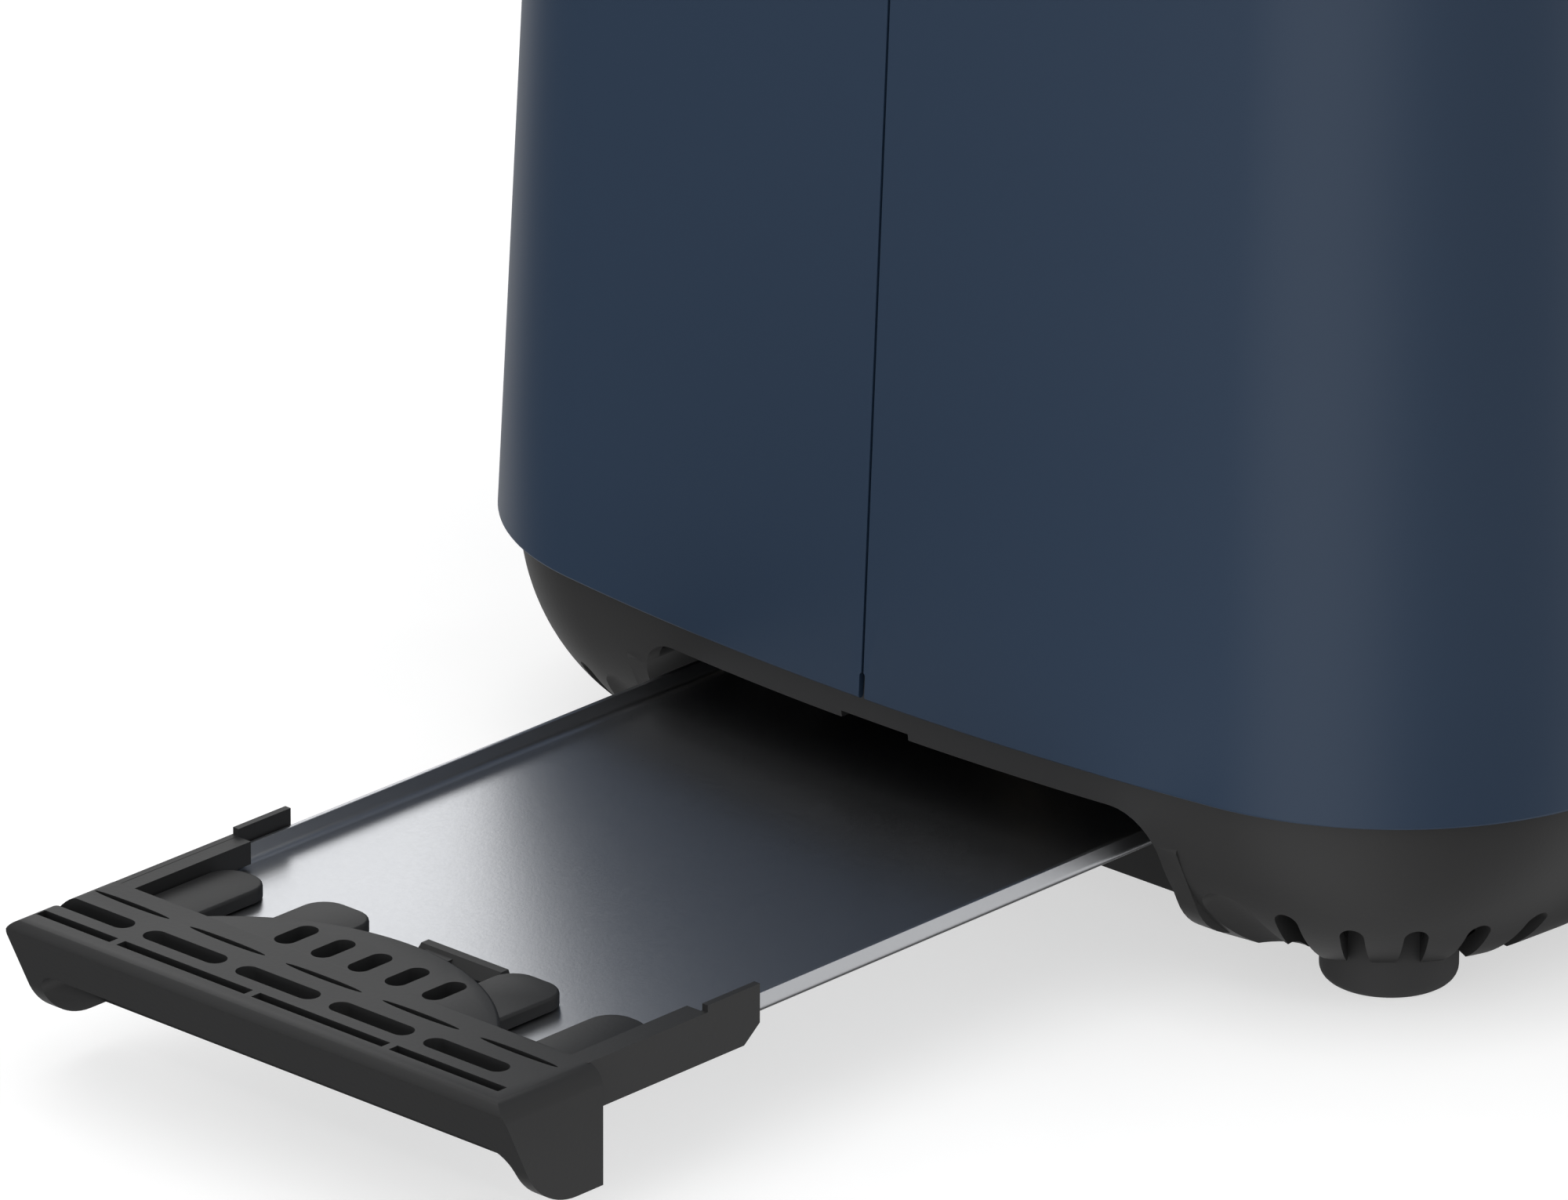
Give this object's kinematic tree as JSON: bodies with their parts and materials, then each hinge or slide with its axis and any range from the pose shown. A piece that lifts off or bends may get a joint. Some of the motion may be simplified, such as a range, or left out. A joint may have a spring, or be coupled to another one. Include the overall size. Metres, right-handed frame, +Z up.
{
  "type": "pop up toaster",
  "caption": "Two-slice pop up toaster with a draughted painted shell, moulded bowl base and a crumb tray that slides out of the rear end.",
  "frame": {"origin": "on the surface it stands on, under the middle of its bounding box with the crumb tray drawn out", "axes": "+Z up, +Y along the toaster from the crumb tray end to the control end, +X across it"},
  "size_m": [0.187, 0.4255, 0.1965],
  "materials": {
    "painted_shell": "dark navy satin paint on sheet steel",
    "base_plastic": "dark grey moulded plastic, fine matt texture",
    "trim_plastic": "dark grey moulded plastic",
    "knob_plastic": "dark grey satin plastic",
    "tray_steel": "satin finely grained steel sheet",
    "bright_steel": "brushed stainless steel",
    "chassis_steel": "zinc plated steel sheet",
    "reflector_steel": "bright aluminised steel",
    "screw_steel": "zinc plated steel",
    "grid_wire": "bright plated wire",
    "mica_sheet": "mica sheet with resistance ribbon",
    "board_green": "green circuit board",
    "coil_copper": "enamelled copper winding",
    "foot_rubber": "black rubber"
  },
  "bodies": {
    "housing": {"housing_shell": "painted_shell", "seam_strip": "painted_shell", "base": "base_plastic", "top_cover": "trim_plastic", "slot_plate": "bright_steel", "cord_bushing": "trim_plastic", "tray_rail_left": "chassis_steel", "tray_rail_right": "chassis_steel", "chassis_plate_rear": "chassis_steel", "chassis_plate_front": "chassis_steel", "reflector_left": "reflector_steel", "reflector_right": "reflector_steel", "heater_board_outer_left": "mica_sheet", "heater_board_inner_left": "mica_sheet", "heater_board_inner_right": "mica_sheet", "heater_board_outer_right": "mica_sheet", "guide_rod": "grid_wire", "return_spring": "grid_wire", "electromagnet_core": "chassis_steel", "electromagnet_coil": "coil_copper", "control_panel": "trim_plastic", "browning_control": "trim_plastic", "control_board": "board_green", "terminal_block": "trim_plastic", "foot_rear_left": "foot_rubber", "base_screw_rear_left": "screw_steel", "foot_rear_right": "foot_rubber", "base_screw_rear_right": "screw_steel", "foot_front_left": "foot_rubber", "base_screw_front_left": "screw_steel", "foot_front_right": "foot_rubber", "base_screw_front_right": "screw_steel"},
    "crumb_tray": {"crumb_tray_handle": "base_plastic", "crumb_tray_pan": "tray_steel"},
    "carriage": {"carriage_bracket": "chassis_steel", "bread_rack_left": "chassis_steel", "bread_rack_right": "chassis_steel", "keeper_plate": "chassis_steel", "lever_knob": "knob_plastic"},
    "grid_outer_left": {"bread_grid_outer_left": "grid_wire"},
    "grid_inner_left": {"bread_grid_inner_left": "grid_wire"},
    "grid_inner_right": {"bread_grid_inner_right": "grid_wire"},
    "grid_outer_right": {"bread_grid_outer_right": "grid_wire"},
    "cancel_button": {"cancel_button": "knob_plastic"},
    "defrost_button": {"defrost_button": "knob_plastic"},
    "reheat_button": {"reheat_button": "knob_plastic"},
    "browning_knob": {"browning_knob": "knob_plastic"}
  },
  "joints": [
    {"name": "crumb_tray_slide", "type": "slide", "parent": "housing", "child": "crumb_tray", "axis": [0, 1, 0], "range_m": [-0.04, 0.1155]},
    {"name": "carriage_slide", "type": "slide", "parent": "housing", "child": "carriage", "axis": [0, 0, -1], "range_m": [0, 0.052], "stiffness_N_per_m": 70, "springref_m": -0.06, "deforming": ["return_spring"]},
    {"name": "grid_outer_left_slide", "type": "slide", "parent": "housing", "child": "grid_outer_left", "axis": [1, 0, 0], "range_m": [0, 0.0041]},
    {"name": "grid_inner_left_slide", "type": "slide", "parent": "housing", "child": "grid_inner_left", "axis": [-1, 0, 0], "range_m": [0, 0.0041]},
    {"name": "grid_inner_right_slide", "type": "slide", "parent": "housing", "child": "grid_inner_right", "axis": [1, 0, 0], "range_m": [0, 0.0041]},
    {"name": "grid_outer_right_slide", "type": "slide", "parent": "housing", "child": "grid_outer_right", "axis": [-1, 0, 0], "range_m": [0, 0.0041]},
    {"name": "cancel_press", "type": "slide", "parent": "housing", "child": "cancel_button", "axis": [0, -1, 0], "range_m": [0, 0.0015], "stiffness_N_per_m": 500, "springref_m": -0.001},
    {"name": "defrost_press", "type": "slide", "parent": "housing", "child": "defrost_button", "axis": [0, -1, 0], "range_m": [0, 0.0015], "stiffness_N_per_m": 500, "springref_m": -0.001},
    {"name": "reheat_press", "type": "slide", "parent": "housing", "child": "reheat_button", "axis": [0, -1, 0], "range_m": [0, 0.0015], "stiffness_N_per_m": 500, "springref_m": -0.001},
    {"name": "browning_turn", "type": "hinge", "parent": "housing", "child": "browning_knob", "pos_m": [0, 0.19865, 0.0533], "axis": [0, 1, 0], "range_deg": [-135, 135]}
  ],
  "couplings": [
    {"joint": "grid_outer_left_slide", "follows": "carriage_slide", "ratio": 0.076923},
    {"joint": "grid_inner_left_slide", "follows": "carriage_slide", "ratio": 0.076923},
    {"joint": "grid_inner_right_slide", "follows": "carriage_slide", "ratio": 0.076923},
    {"joint": "grid_outer_right_slide", "follows": "carriage_slide", "ratio": 0.076923}
  ]
}
